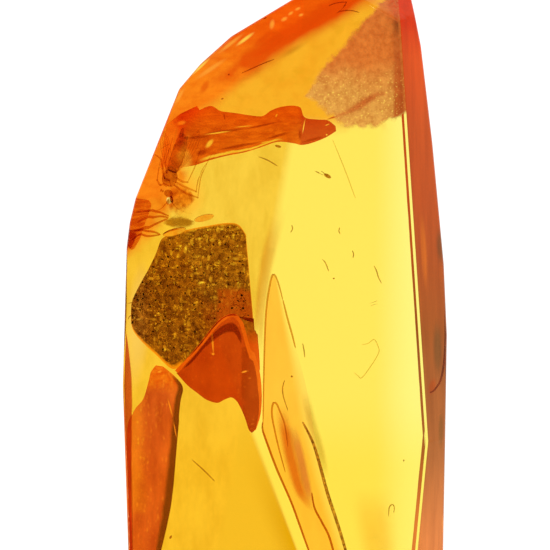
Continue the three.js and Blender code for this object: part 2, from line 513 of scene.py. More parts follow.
def amber_material():
    material, tree, shader = fresh_material("honey_amber")
    colour, frost = amber_colour(tree)
    tree.links.new(colour, shader.inputs["Base Color"])
    tree.links.new(math_node(tree, "MULTIPLY", frost, 0.35), shader.inputs["Roughness"])
    shader.inputs["IOR"].default_value = 1.54
    shader.inputs["Specular Tint"].default_value = (1, 0.7, 0.35, 1)
    shader.inputs["Transmission Weight"].default_value = 1
    ripple = node(tree, "TexNoise", {"Vector": place_in_stone(tree), "Scale": 300, "Detail": 2})
    bump = node(tree, "Bump", {"Height": ripple.outputs["Fac"], "Strength": 0.05, "Distance": 0.0002})
    tree.links.new(bump.outputs["Normal"], shader.inputs["Normal"])
    absorb = node(tree, "VolumeAbsorption", {"Color": (0.995, 0.915, 0.0, 1), "Density": 120})
    tree.links.new(absorb.outputs["Volume"], tree.nodes["Material Output"].inputs["Volume"])
    return material


stone = add_object("stone", stone_mesh(), amber_material())
flat_facets = stone.modifiers.new("flat_facets", "WEIGHTED_NORMAL")
flat_facets.weight = 50
flat_facets.keep_sharp = True
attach(stone, "root")
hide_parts("amber")


# The litter is a lens of crumbled bark, dust and plant hair that the resin ran over. It lies in
# the left half as one dark olive-brown body, full of specks and strands painted gold as glints, with
# loose crumbs over it.
LITTER_TOP = [
    (-11.75, 0.6), (-11.15, 1.8), (-10.5, 2.95), (-9.9, 4.2), (-9.4, 5.4), (-8.5, 5.8),
    (-7.2, 6.15), (-5.6, 6.45), (-4.2, 6.65), (-3.3, 6.5), (-2.7, 5.7),
]
LITTER_FOOT = [
    (-11.85, 0.2), (-11.85, -1.4), (-11.35, -2.4), (-9.9, -3.8), (-8.5, -4.95), (-7.4, -4.15),
    (-6.2, -2.85), (-5.3, -1.7), (-4.4, -0.85), (-3.6, -0.7), (-3.1, -0.9), (-2.7, -1.1),
    (-2.3, -1.2), (-2.1, -1.3),
]
# Flecks in the litter: real specks, painted bright gold as glints.
LITTER_GLINT_FLECKS = [
    (0.3, 0.38, (1, 1, 1), 0),
    (0.42, 0.3, (1, 0.4, 1), 35),
    (0.42, 0.3, (0.4, 1, 1), 20),
    (0.6, 0.2, (1, 0.5, 1), -30),
]
LITTER_RINGS = [(90, 2.6), (40, 0.2), (-20, -3.4)]
LITTER_LEVEL = 4.9
LITTER_THICK = 0.5
CRUMBS = 520
LITTER_HAIRS = 70


def along(points, share):
    """A point on the smooth curve through the points, from 0 at the first to 1 at the last."""
    spans = len(points) - 1
    spot = min(max(share, 0), 1) * spans
    index = min(int(spot), spans - 1)
    t = spot - index
    near = [Vector(points[min(max(index + step, 0), spans)]) for step in (-1, 0, 1, 2)]
    before, start, end, after = near
    return 0.5 * (
        2 * start
        + (end - before) * t
        + (2 * before - 5 * start + 4 * end - after) * t * t
        + (3 * start - before - 3 * end + after) * t * t * t
    )


def between(top, foot, u, v):
    """A point of the sheet stretched from a foot curve to a top curve, seen from above."""
    return along(foot, u).lerp(along(top, u), v)


def smoothed(mesh):
    for face in mesh.faces:
        face.smooth = True
    return mesh


def film(top, foot, level, thick, columns=48, rows=16, relief=0.0, fold=1.0, lean=(0, 0)):
    """A thin closed sheet between two curves, rumpled by relief in folds of the given width."""
    mesh = bmesh.new()
    mesh.loops.layers.uv.new("sheet")
    bmesh.ops.create_grid(mesh, x_segments=columns, y_segments=rows, size=0.5, calc_uvs=True)
    for vert in mesh.verts:
        spot = between(top, foot, vert.co.x + 0.5, vert.co.y + 0.5)
        wave = noise.noise(Vector((spot.x, spot.y, level)) / fold) * relief
        tilt = spot.x * lean[0] + spot.y * lean[1]
        vert.co = Vector((spot.x, spot.y, level + wave + tilt)) * MM
    raised = bmesh.ops.extrude_face_region(mesh, geom=mesh.faces[:])["geom"]
    lifted = [item for item in raised if isinstance(item, bmesh.types.BMVert)]
    bmesh.ops.translate(mesh, verts=lifted, vec=(0, 0, thick * MM))
    bmesh.ops.remove_doubles(mesh, verts=mesh.verts, dist=0.002 * MM)
    bmesh.ops.dissolve_degenerate(mesh, edges=mesh.edges, dist=0.001 * MM)
    bmesh.ops.recalc_face_normals(mesh, faces=mesh.faces)
    return smoothed(mesh)


def sealed(name, mesh, slot, *materials):
    """A thing sealed in the stone: it goes where the stone goes."""
    made = add_object(name, mesh, *materials)
    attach(made, "root")
    return made


def stained_glass(name, colour_of, roughness=0.1, ior=1.05):
    """Clear resin of another flow, stained by what it holds."""
    material, tree, shader = fresh_material(name)
    tree.links.new(colour_of(tree), shader.inputs["Base Color"])
    shader.inputs["Roughness"].default_value = roughness
    shader.inputs["IOR"].default_value = ior
    shader.inputs["Transmission Weight"].default_value = 1
    return material


def sheet_spot(tree):
    """Where a point lies on a film: along it and across it, both from 0 to 1."""
    split = node(tree, "SeparateXYZ", {0: node(tree, "UVMap", uv_map="sheet").outputs["UV"]})
    return split.outputs["X"], split.outputs["Y"]


def flecks(tree, size, share, stretch, turn):
    """Short flecks: every cell of the given size may hold one, drawn out along one direction."""
    settings = {"Vector": place_in_stone(tree), "Rotation": (0, 0, math.radians(turn)), "Scale": stretch}
    where = node(tree, "Mapping", settings).outputs["Vector"]
    cells = node(tree, "TexVoronoi", {"Vector": where, "Scale": 1 / (size * MM), "Randomness": 1.0})
    chance = node(tree, "SeparateXYZ", {0: cells.outputs["Color"]})
    shape = soft_step(tree, cells.outputs["Distance"], 0.32, 0.12)
    return both(tree, shape, soft_step(tree, chance.outputs["X"], 1 - share, 1.05 - share))


def litter_colour(tree):
    ground = mottled((0.1, 0.028, 0.004, 1), (0.42, 0.2, 0.07, 1), 0.5, 0.17)(tree)
    ridge = math_node(tree, "ABSOLUTE", wander(tree, 0.45, 1.0, 2.0, 2.0))
    here = soft_step(tree, wander(tree, 0.7, 1.0, 9.0), 0.0, 0.1)
    glinting_strand = both(tree, soft_step(tree, ridge, 0.05, 0.01), here)
    # Painted highlights: golden strands and flecks, standing in for fibres and flakes that catch the
    # light.
    colour = tint(tree, both(tree, glinting_strand, 0.85), ground, (0.95, 0.6, 0.2, 1))
    for size, share, stretch, turn in LITTER_GLINT_FLECKS:
        colour = tint(tree, flecks(tree, size, share, stretch, turn), colour, (1, 0.85, 0.45, 1))
    corner = both(tree, region(tree, [(0, -5.6), (-90, 0.0)], 1.2, wander(tree, 2, 1.0)), 0.6)
    colour = tint(tree, corner, colour, (0.42, 0.07, 0.02, 1))
    out = math_node(tree, "ADD", furthest(tree, LITTER_RINGS), wander(tree, 1.2, 0.3, 5.0))
    rings = math_node(tree, "SINE", math_node(tree, "MULTIPLY", out, 9))
    arcs_here = region(tree, [(0, -4.4), (-90, -4.8), (90, 1.4)], 0.3)
    arcs = both(tree, soft_step(tree, rings, 0.8, 1.0), arcs_here)
    colour = tint(tree, both(tree, arcs, 0.4), colour, (0.7, 0.35, 0.08, 1))
    upper = region(tree, [(90, 2.6)], 2.6)
    colour = tint(tree, upper, colour, (1.3, 1.36, 1.0, 1), "MULTIPLY")
    patch = both(tree, region(tree, [(0, -4.9), (-90, -1.3)], 0.25, wander(tree, 1, 0.4)), 0.7)
    colour = tint(tree, patch, colour, (0.55, 0.12, 0.03, 1))
    lengthwise, upward = sheet_spot(tree)
    far_side = both(tree, soft_step(tree, lengthwise, 0.975, 0.998), 0.9)
    upper_side = both(tree, soft_step(tree, upward, 0.972, 0.998), soft_step(tree, lengthwise, 0.35, 0.6))
    foot_line = both(tree, soft_step(tree, upward, 0.05, 0.012), soft_step(tree, lengthwise, 0.38, 0.34))
    rim = either(tree, either(tree, far_side, upper_side), foot_line)
    return tint(tree, rim, colour, (0.98, 0.5, 0.1, 1))


def solid_material(name, colour_of, roughness=0.6, metallic=0.0):
    material, tree, shader = fresh_material(name)
    tree.links.new(colour_of(tree), shader.inputs["Base Color"])
    shader.inputs["Roughness"].default_value = roughness
    shader.inputs["Metallic"].default_value = metallic
    return material


def sweep(mesh, path, radii, sides=5):
    """A thin rod along a path, closed at both ends, as thick as the radii say."""
    steps = len(path)
    placed = []
    for index, spot in enumerate(path):
        ahead = Vector(path[min(index + 1, steps - 1)]) - Vector(path[max(index - 1, 0)])
        turn = ahead.to_track_quat("Z", "Y").to_matrix().to_4x4()
        size = Matrix.Scale(radii[min(index, len(radii) - 1)], 4)
        placed.append(Matrix.Translation(Vector(spot)) @ turn @ size)
    earlier = set(mesh.faces)
    ring = bmesh.ops.create_circle(mesh, cap_ends=True, segments=sides, radius=1)["verts"]
    face = ring[0].link_faces[0]
    shape = [vert.co.copy() for vert in face.verts]
    for vert, flat in zip(face.verts, shape):
        vert.co = placed[0] @ flat
    for place in placed[1:]:
        grown = bmesh.ops.extrude_face_region(mesh, geom=[face, *face.edges, *face.verts])["geom"]
        face = next(item for item in grown if isinstance(item, bmesh.types.BMFace))
        for vert, flat in zip(face.verts, shape):
            vert.co = place @ flat
    mesh.normal_update()
    made = [face for face in mesh.faces if face not in earlier]
    middle = Vector(path[steps // 2])
    outward = 0
    for face in made:
        outward += (face.calc_center_median() - middle).dot(face.normal) * face.calc_area()
    if outward < 0:
        bmesh.ops.reverse_faces(mesh, faces=made)


def crumbs(dice, count, small, large, flat):
    mesh = bmesh.new()
    for _ in range(count):
        spot = between(LITTER_TOP, LITTER_FOOT, dice.uniform(0.04, 0.9), dice.uniform(0.04, 0.96))
        size = small + (large - small) * dice.random() ** 3
        height = LITTER_LEVEL + LITTER_THICK + 0.1 + 1.6 * dice.random() ** 2
        turn = Matrix.Rotation(dice.uniform(0, 6.3), 4, (dice.uniform(-1, 1), dice.uniform(-1, 1), 1))
        shape = Matrix.Diagonal((size, size * dice.uniform(0.4, 1), size * flat, 1))
        place = Matrix.Translation((spot.x, spot.y, height)) @ turn @ shape
        bmesh.ops.create_icosphere(mesh, subdivisions=1, radius=1, matrix=Matrix.Scale(MM, 4) @ place)
    return smoothed(mesh)


def litter_hairs(dice, count):
    mesh = bmesh.new()
    for _ in range(count):
        spot = between(LITTER_TOP, LITTER_FOOT, dice.uniform(0.08, 0.86), dice.uniform(0.1, 0.9))
        heading = dice.uniform(0, 6.3)
        curl = dice.uniform(-0.9, 0.9)
        stride = dice.uniform(0.1, 0.26)
        height = LITTER_LEVEL + LITTER_THICK + dice.uniform(0.2, 1.6)
        path = []
        for _ in range(5):
            path.append(Vector((spot.x, spot.y, height)) * MM)
            spot = spot + Vector((math.cos(heading), math.sin(heading))) * stride
            heading += curl
            height += dice.uniform(-0.08, 0.08)
        thick = dice.uniform(0.018, 0.035) * MM
        sweep(mesh, path, [thick * 0.5, thick, thick, thick, thick * 0.4], sides=4)
    return smoothed(mesh)


litter_film = film(LITTER_TOP, LITTER_FOOT, LITTER_LEVEL, LITTER_THICK, 80, 48, 0.35, 1.3)
sealed("litter", litter_film, "litter", stained_glass("litter_dust", litter_colour, 0.0))
bark = solid_material("bark_crumb", mottled((0.05, 0.015, 0.003, 1), (0.25, 0.1, 0.02, 1), 0.5))
straw = stained_glass("straw_hair", mottled((0.5, 0.25, 0.08, 1), (0.8, 0.5, 0.2, 1), 0.5), 0.1, 1.2)
sealed("bark_crumbs", crumbs(random.Random(11), CRUMBS, 0.03, 0.13, 0.4), "litter", bark)
sealed("litter_hairs", litter_hairs(random.Random(13), LITTER_HAIRS), "litter", straw)


# A pocket of red resin, folded over the lower end of the litter. A brighter fold runs round its
# top, with a brown hollow inside it and a thin film beside it, and its foot ends in a point.
POCKET_FOLD = [
    (-8.4, -5.0), (-7.6, -4.2), (-6.9, -3.4), (-6.2, -2.55), (-5.5, -1.65), (-4.95, -1.05),
    (-4.4, -0.68), (-3.8, -0.52), (-3.35, -0.75), (-3.0, -1.25), (-2.75, -2.1), (-2.5, -3.0),
    (-2.2, -4.0), (-1.95, -4.9), (-1.8, -6.0), (-1.76, -7.3), (-1.85, -8.4), (-2.1, -9.3),
    (-2.3, -9.8),
]
POCKET_FOOT = [
    (-8.3, -5.2), (-7.4, -6.18), (-6.6, -6.8), (-5.9, -7.3), (-5.05, -7.55), (-4.4, -7.26),
    (-3.85, -7.15), (-3.3, -7.7), (-2.9, -8.6), (-2.6, -9.5), (-2.4, -9.75), (-2.3, -9.8),
]
FOLD_WIDTH = 0.3
POCKET_HOLLOW = [
    (-7.9, -4.85), (-7.1, -4.0), (-6.2, -2.95), (-5.5, -2.2), (-4.9, -1.6), (-4.3, -1.25),
    (-3.75, -1.2), (-3.3, -1.7), (-3.0, -2.7),
]
POCKET_INSIDE = [
    (-7.8, -5.0), (-6.95, -4.35), (-6.1, -3.35), (-5.35, -2.75), (-4.8, -2.35), (-4.3, -2.1),
    (-3.75, -2.1), (-3.4, -2.5), (-3.1, -3.1),
]
POCKET_SIDE = [(-2.15, -0.9), (-2.1, -1.7), (-2.05, -2.6), (-1.98, -3.4), (-1.93, -4.2), (-1.9, -4.95)]
POCKET_LEVEL = 7.4
# Painted highlights: pale spots on the red pocket.
POCKET_GLINTS = [(-5.42, -2.75, 94, 2.2, 0.2), (-5.38, -3.7, 0, 0.3, 0.28), (-2.9, -5.1, 15, 0.6, 0.2)]


def beside(points, gap):
    """The same curve moved sideways to its right, back to nothing at its last point."""
    moved = []
    last = len(points) - 1
    for index, (x, y) in enumerate(points):
        ahead = Vector(points[min(index + 1, last)]) - Vector(points[max(index - 1, 0)])
        step = ahead.normalized() * gap * min(1, (last - index) / 4)
        moved.append((x + step.y, y - step.x))
    return moved


def faded(colour_of, ends=0.2, sides=0.35, ragged=0.0, size=1.0):
    """A stain that fades to clear at the film's ends and sides."""
    def colour(tree):
        edges = []
        for spot, soft in zip(sheet_spot(tree), (ends, sides)):
            if ragged:
                spot = math_node(tree, "ADD", spot, wander(tree, size, ragged))
            near = math_node(tree, "MINIMUM", spot, math_node(tree, "SUBTRACT", 1.0, spot))
            edges.append(soft_step(tree, near, 0, soft))
        return tint(tree, both(tree, *edges), CLEAR, colour_of(tree))
    return colour


def plain(colour):
    return mottled(tuple(0.92 * part for part in colour[:3]) + (1,), colour, 0.8)


def pocket_colour(tree):
    red = mottled((0.52, 0.07, 0.02, 1), (0.7, 0.125, 0.05, 1), 1.6)(tree)
    # Painted shadow: the lower right of the pocket is darker.
    shadow = region(tree, [(0, -3.1), (-90, 3.2)], 0.12, wander(tree, 1, 0.2))
    colour = tint(tree, both(tree, shadow, 0.6), red, (0.36, 0.05, 0.01, 1))
    dust = flecks(tree, 0.24, 0.2, (1, 1, 1), 0)
    colour = tint(tree, both(tree, dust, 0.6), colour, (1, 0.4, 0.2, 1))
    # Painted highlights on the pocket.
    return tint(tree, spots(tree, POCKET_GLINTS, 0.6), colour, (1, 0.5, 0.3, 1))


def side_colour(tree):
    """Brown where the litter shows through, and as red as the pocket lower down."""
    brown = mottled((0.3, 0.08, 0.01, 1), (0.5, 0.2, 0.05, 1), 0.3, 0.2)(tree)
    low = region(tree, [(-90, 2.3)], 0.8, wander(tree, 0.8, 0.5))
    return tint(tree, low, brown, (0.74, 0.13, 0.03, 1))


pocket_film = film(beside(POCKET_FOLD, FOLD_WIDTH), POCKET_FOOT, POCKET_LEVEL, 0.3, 80, 30, 0.1, 2.0)
sealed("red_pocket", pocket_film, "veil", stained_glass("pocket_red", pocket_colour, 0.03))
fold_film = film(POCKET_FOLD, beside(POCKET_FOLD, FOLD_WIDTH), POCKET_LEVEL, 0.2, 80, 6)
orange = mottled((0.74, 0.13, 0.03, 1), (0.94, 0.24, 0.07, 1), 0.9)
fold_orange = stained_glass("fold_orange", orange, 0.03)
sealed("pocket_fold", fold_film, "veil", fold_orange)
side_film = film(POCKET_SIDE, POCKET_FOLD[8:14], POCKET_LEVEL, 0.04, 40, 10)
side_red = stained_glass("side_red", side_colour, 0.0, 1.01)
sealed("pocket_side", side_film, "veil", side_red)
hollow_film = film(POCKET_HOLLOW, POCKET_INSIDE, POCKET_LEVEL - 0.7, 0.1, 40, 8)
hollow_brown = stained_glass("hollow_brown", faded(plain((0.5, 0.3, 0.2, 1)), 0.08, 0.2), 0.0)
sealed("pocket_hollow", hollow_film, "veil", hollow_brown)


# The veil is an old crack that healed: a rumpled orange film across the stone below the tip.
# Its folds show as darker lines, its lower edge is a bright seam, and its right end is redder.
VEIL_TOP = [
    (-8.7, 14.2), (-7.7, 15.0), (-6.7, 15.45), (-5.6, 15.85), (-4.8, 15.45), (-3.7, 15.3),
    (-2.4, 15.1), (-1.5, 15.05), (-0.8, 15.5), (0.1, 15.8), (1.2, 15.8), (1.6, 15.0), (2.6, 14.8),
    (3.4, 14.75), (4.05, 14.3),
]
VEIL_FOOT = [
    (-9.2, 10.8), (-8.0, 11.0), (-6.8, 11.2), (-5.6, 11.6), (-4.2, 11.95), (-2.9, 12.2),
    (-1.6, 12.6), (-0.4, 13.0), (0.7, 12.95), (1.4, 12.8), (2.3, 13.0), (3.3, 13.4), (4.1, 13.9),
]
VEIL_LEVEL = 8.0
VEIL_FOLDS = [
    (-4.6, 13.85, 8, 5.0, 0.28),
    (-1.6, 14.3, 12, 3.6, 0.22),
    (-3.4, 12.7, 10, 4.4, 0.3),
    (-6.6, 13.4, 6, 2.6, 0.35),
    (-6.3, 12.2, 20, 1.2, 0.6),
    (-0.3, 13.5, 15, 2.4, 0.3),
    (-4.5, 15.0, 100, 0.8, 0.14),
    (1.25, 13.6, 95, 0.9, 0.3),
    (2.3, 13.25, 14, 2.4, 0.3),
    (-8.0, 13.2, 80, 2.2, 0.16),
]
# Painted highlights: pale spots on the veil.
VEIL_GLINTS = [
    (-7.5, 14.35, 10, 1.0, 0.5),
    (-5.7, 12.9, 50, 1.1, 0.5),
    (-5.0, 13.75, 8, 2.6, 0.18),
    (-3.0, 14.25, 5, 1.8, 0.12),
    (-0.4, 15.1, 60, 0.4, 0.16),
    (-1.3, 13.0, 15, 0.9, 0.16),
    (1.55, 14.3, 80, 1.5, 0.14),
    (3.35, 13.6, 0, 0.2, 0.16),
    (3.4, 14.4, 20, 0.5, 0.12),
]


def veil_colour(tree):
    broad = mottled((0.72, 0.14, 0.02, 1), (0.96, 0.26, 0.06, 1), 1.5, 0.24, (0.6, 1.4, 1))(tree)
    fine = mottled((0.8, 0.62, 0.5, 1), (1.06, 1.2, 1.3, 1), 0.45, 0.2, (0.4, 1.6, 1), 4.0)(tree)
    colour = tint(tree, 1.0, broad, fine, "MULTIPLY")
    tip = region(tree, [(0, 1.3)], 0.25, wander(tree, 0.8, 0.3))
    colour = tint(tree, both(tree, tip, 0.8), colour, (0.58, 0.085, 0.06, 1))
    colour = tint(tree, both(tree, spots(tree, VEIL_FOLDS), 0.8), colour, (0.42, 0.05, 0.005, 1))
    left_end = region(tree, [(190, 5.3)], 0.5, wander(tree, 1, 0.6))
    colour = tint(tree, both(tree, left_end, 0.75), colour, (1, 0.8, 0.6, 1))
    # Painted highlights on the veil.
    colour = tint(tree, spots(tree, VEIL_GLINTS), colour, (1, 0.7, 0.4, 1))
    across = math_node(tree, "ADD", sheet_spot(tree)[1], wander(tree, 0.6, 0.03))
    seam = both(tree, soft_step(tree, across, 0.02, 0.05), soft_step(tree, across, 0.11, 0.07))
    seam = both(tree, seam, region(tree, [(180, 0.2), (0, -6.2)], 0.5))
    return tint(tree, seam, colour, (1, 0.85, 0.5, 1))


veil_film = film(VEIL_TOP, VEIL_FOOT, VEIL_LEVEL, 0.25, 110, 36, 0.6, 0.9)
sealed("veil", veil_film, "veil", stained_glass("veil_orange", veil_colour, 0.06, 1.1))


# A second, smaller crack runs on from the veil's point into the matte patch, as a thin red fin.
FIN_TOP = [(3.2, 14.75), (4.9, 15.5), (6.2, 16.4), (7.3, 16.9), (8.1, 16.85)]
FIN_FOOT = [(3.2, 14.7), (5.0, 15.2), (6.3, 15.8), (7.4, 16.6), (8.1, 16.75)]

fin_film = film(FIN_TOP, FIN_FOOT, 9.2, 0.1, 40, 6)
fin_red = stained_glass("fin_red", faded(plain((0.72, 0.26, 0.2, 1)), 0.1, 0.1), 0.0)
sealed("crack_fin", fin_film, "veil", fin_red)


# The crust is a long sliver of weathered rind that runs up the left side from the foot. Its
# right margin is dark, a painted highlight runs beside it as a pale line, and its head is flecked with
# gold.
CRUST_LEFT = [
    (-11.0, -24.6), (-12.0, -19.9), (-12.25, -14.0), (-12.2, -9.8), (-11.6, -8.2), (-10.9, -7.3),
    (-10.5, -6.0), (-10.3, -5.2), (-9.9, -4.65),
]
CRUST_RIGHT = [
    (-10.7, -24.9), (-9.7, -20.0), (-9.0, -17.0), (-8.6, -14.7), (-8.2, -10.2), (-7.95, -7.6),
    (-7.75, -6.4), (-8.4, -5.5), (-9.3, -4.75),
]
CRUST_LEVEL = 5.6
# Painted highlights: a pale line beside the crust's dark margin, and a spot at its head.
CRUST_GLINTS = [(-8.75, -8.0, 105, 1.9, 0.16), (-8.4, -9.6, 100, 1.6, 0.12), (-9.6, -5.15, 20, 0.5, 0.2)]
CRUST_HEAD = [(90, -6.4)]


def crust_colour(tree):
    body = mottled((0.6, 0.13, 0.2, 1), (0.88, 0.27, 0.38, 1), 1.6, 0.22, (1.4, 0.4, 1), 7.0)(tree)
    head = mottled((0.75, 0.12, 0.03, 1), (0.98, 0.4, 0.2, 1), 0.5, 0.2, None, 5.0)(tree)
    colour = tint(tree, region(tree, CRUST_HEAD, 0.7, wander(tree, 1, 0.8)), body, head)
    left = region(tree, [(180, 11.0), (90, -16.0)], 0.6, wander(tree, 1.2, 0.8))
    colour = tint(tree, both(tree, left, 0.7), colour, (0.95, 0.42, 0.3, 1))
    dust = either(tree, flecks(tree, 0.34, 0.4, (1, 0.4, 1), 12), flecks(tree, 0.22, 0.3, (1, 1, 1), 0))
    colour = tint(tree, both(tree, dust, 0.6), colour, (1, 0.55, 0.6, 1))
    gilt_here = region(tree, [(180, 10.6), (-90, 7.2), (90, -14)], 1.0)
    gilt = both(tree, flecks(tree, 0.35, 0.5, (1, 0.6, 1), 20), gilt_here)
    colour = tint(tree, gilt, colour, (1, 0.75, 0.5, 1))
    across = math_node(tree, "ADD", sheet_spot(tree)[1], wander(tree, 1.6, 0.05))
    margin = both(tree, soft_step(tree, across, 0.2, 0.1), region(tree, [(-90, 5.6)], 0.4))
    colour = tint(tree, margin, colour, (0.26, 0.09, 0.06, 1))
    # Painted highlights on the crust.
    return tint(tree, spots(tree, CRUST_GLINTS), colour, (1, 0.5, 0.4, 1))


crust_film = film(CRUST_LEFT, CRUST_RIGHT, CRUST_LEVEL, 0.5, 90, 24, 0.3, 1.5)
sealed("crust_sliver", crust_film, "veil", stained_glass("crust_brown", crust_colour, 0.1))


# A thin rind was left along the lower left side: a red-brown strip, darkest at the very edge.
RIND_OUTER = [
    (-11.5, -24.4), (-11.95, -22.0), (-12.3, -19.5), (-12.55, -12.0), (-12.55, -6.0), (-12.5, -1.6),
]
RIND_INNER = [
    (-11.2, -24.4), (-11.5, -22.0), (-11.75, -19.5), (-11.8, -12.0), (-11.75, -6.0), (-12.3, -1.6),
]


def rind_colour(tree):
    across = math_node(tree, "ADD", sheet_spot(tree)[1], wander(tree, 1.6, 0.06))
    brown = mottled((0.52, 0.13, 0.14, 1), (0.72, 0.22, 0.25, 1), 1.2, 0.3, (2, 0.4, 1))(tree)
    colour = tint(tree, soft_step(tree, across, 0.6, 0.85), brown, (0.3, 0.07, 0.06, 1))
    return tint(tree, soft_step(tree, across, 0.16, 0.02), colour, CLEAR)


rind_film = film(RIND_OUTER, RIND_INNER, 6.6, 0.2, 60, 10, 0.1, 1.5)
sealed("left_rind", rind_film, "veil", stained_glass("rind_brown", rind_colour, 0.0))


# The fan is a spray of fine cracks that start at the gnat's head and reach the left side. A
# drop of dark resin hangs under it, and single cracks run on towards the litter.
FAN_OUTER = [
    (-11.3, 8.5), (-11.6, 8.0), (-11.82, 7.2), (-12.0, 6.3), (-12.1, 5.4), (-11.95, 4.7),
    (-11.7, 4.45),
]
FAN_INNER = [
    (-10.4, 8.36), (-10.15, 8.0), (-10.3, 7.4), (-10.6, 6.6), (-10.85, 5.9), (-11.1, 5.2),
    (-11.5, 4.55),
]
FAN_LEVEL = 10.4
CRACKS = [
    [(-8.9, 7.15), (-9.8, 7.5), (-10.6, 7.5), (-11.4, 7.4)],
    [(-8.95, 7.05), (-9.7, 7.15), (-10.6, 6.95), (-11.3, 6.6)],
    [(-9.0, 7.0), (-9.9, 6.6), (-10.9, 6.1), (-11.6, 5.9)],
    [(-9.6, 5.72), (-10.2, 5.95), (-11.2, 6.0), (-12.0, 5.95)],
    [(-9.6, 5.72), (-10.5, 5.6), (-11.1, 5.65), (-11.7, 5.2)],
]


def thread(mesh, points, level, thick, sides=6, steps=24):
    """A fine closed thread along a smooth curve, drawn out thin at both ends."""
    path = []
    radii = []
    for step in range(steps + 1):
        share = step / steps
        spot = along(points, share)
        height = spot.z if len(spot) == 3 else level
        path.append(Vector((spot.x, spot.y, height)) * MM)
        radii.append(0.5 * thick * MM * (0.25 + 0.75 * math.sin(math.pi * share) ** 0.4))
    sweep(mesh, path, radii, sides)


def threads(curves, level, thick, sides=6, steps=24):
    mesh = bmesh.new()
    for points in curves:
        thread(mesh, points, level, thick, sides, steps)
    return smoothed(mesh)


def fan_colour(tree):
    where = node(tree, "UVMap", uv_map="sheet").outputs["UV"]
    where = node(tree, "Mapping", {"Vector": where, "Scale": (22, 1.2, 1)}).outputs["Vector"]
    rays = node(tree, "TexNoise", {"Vector": where, "Scale": 1, "Detail": 4, "Distortion": 0.4})
    lit = soft_step(tree, rays.outputs["Fac"], 0.42, 0.7)
    return tint(tree, lit, (0.76, 0.34, 0.12, 1), (1, 0.74, 0.5, 1))


fan_film = film(FAN_INNER, FAN_OUTER, FAN_LEVEL, 0.12, 60, 16, 0.15, 0.6)
sealed("crack_fan", fan_film, "veil", stained_glass("fan_red", fan_colour, 0.05, 1.1))
crack_red = stained_glass("crack_red", plain((0.72, 0.36, 0.12, 1)), 0.0, 1.01)
sealed("crack_rays", threads(CRACKS, FAN_LEVEL + 0.2, 0.2), "veil", crack_red)


# Resin ran down here in its last flow: a clear golden tongue with fine brown outlines, a closed
# loop inside it, and an orange smear. The lines are films of dust on the old outer skin.
TONGUE_LEFT = [
    (-0.88, 2.6), (-1.1, 1.85), (-1.45, -0.7), (-1.6, -5.1), (-1.7, -9.4), (-1.2, -11.2),
    (0.4, -15.1), (1.9, -19.1), (3.4, -23.0), (4.2, -25.2),
]
TONGUE_RIGHT = [
    (-0.84, 2.6), (-0.5, 2.1), (0.1, 0.0), (0.9, -3.0), (1.9, -7.0), (2.5, -10.6), (3.3, -14.3),
    (4.6, -18.6), (5.8, -22.8), (6.4, -25.2),
]
TONGUE_LEVEL = 7.0
TONGUE_LINES = [
    [
        (-1.67, -9.0), (-1.71, -9.55), (-1.45, -10.4), (-0.56, -12.8), (0.62, -15.5), (2.03, -19.4),
        (4.0, -24.6),
    ],
    [(2.18, -14.6), (2.4, -15.8), (2.99, -16.95), (3.58, -18.15), (4.2, -20.4), (5.4, -24.6)],
]
TONGUE_FINE_LINES = [
    [(-1.65, -9.0), (-1.6, -5.1), (-1.45, -0.68), (-1.15, 1.7), (-0.86, 2.62), (-0.5, 2.05), (-0.1, 0.6)],
    [(-0.1, 0.6), (0.2, -0.6), (0.62, -2.1), (0.9, -3.2)],
    [
        (0.1, -13.0), (-0.34, -11.4), (-0.7, -9.9), (-0.97, -8.4), (-0.86, -7.55), (-0.6, -7.6),
        (-0.41, -8.0), (0.03, -9.2), (0.3, -10.95),
    ],
]
DUST_LINE = [
    (1.45, -9.0), (2.25, -10.6), (2.84, -12.5), (3.44, -14.7), (4.18, -16.95), (4.92, -19.4),
    (6.3, -24.6),
]
# Two smears and three shade films. shade_waist is painted shade along the edge between the flats, and the
# other two darken the face in soft streaks.
SMEARS_AND_SHADES = {
    "smear_orange": (
        [(-0.8, -7.6), (-0.6, -9.8), (-0.1, -12.2), (0.8, -14.8), (2.2, -16.4)],
        [(0.2, -7.6), (0.8, -9.8), (1.3, -12.2), (1.9, -14.6), (2.5, -16.2)],
        (0.8, 0.36, 0.2, 1),
    ),
    "smear_rose": (
        [(0.2, -9.2), (0.7, -11.6), (1.3, -14.0), (2.0, -15.9)],
        [(1.1, -9.2), (1.7, -11.4), (2.2, -13.8), (2.5, -15.8)],
        (0.8, 0.5, 0.85, 1),
    ),
    "shade_grey": (
        [(1.1, -6.6), (1.7, -9.2), (2.4, -11.4), (3.1, -13.6)],
        [(2.1, -6.6), (2.6, -8.8), (3.3, -11.2), (3.7, -13.6)],
        (0.8, 0.7, 0.55, 1),
    ),
    # Painted shade: a darker sheet along the edge between the two flats.
    "shade_waist": (
        [(-0.6, 8.0), (-1.6, 4.6), (-2.0, 1.6), (-2.15, -1.6), (-2.1, -4.0)],
        [(0.5, 8.0), (-0.4, 4.6), (-1.1, 1.6), (-1.5, -1.6), (-1.6, -4.0)],
        (0.9, 0.72, 0.6, 1),
    ),
    "shade_low": (
        [(4.6, -14.0), (5.4, -18.0), (6.4, -22.0), (7.0, -25.0)],
        [(9.0, -14.0), (9.2, -18.0), (9.4, -22.0), (9.6, -25.0)],
        (1.0, 0.82, 0.62, 1),
    ),
}


def tongue_colour(tree):
    gold = mottled((0.97, 0.63, 0.34, 1), (1, 0.72, 0.42, 1), 1.5, 0.3, (1.5, 0.4, 1), 6.0)(tree)
    across = sheet_spot(tree)[1]
    low = region(tree, [(-90, 4.0)], 3.0)
    right = tint(tree, low, CLEAR, (1, 0.88, 0.9, 1))
    return tint(tree, soft_step(tree, across, 0.3, 0.0), gold, right)


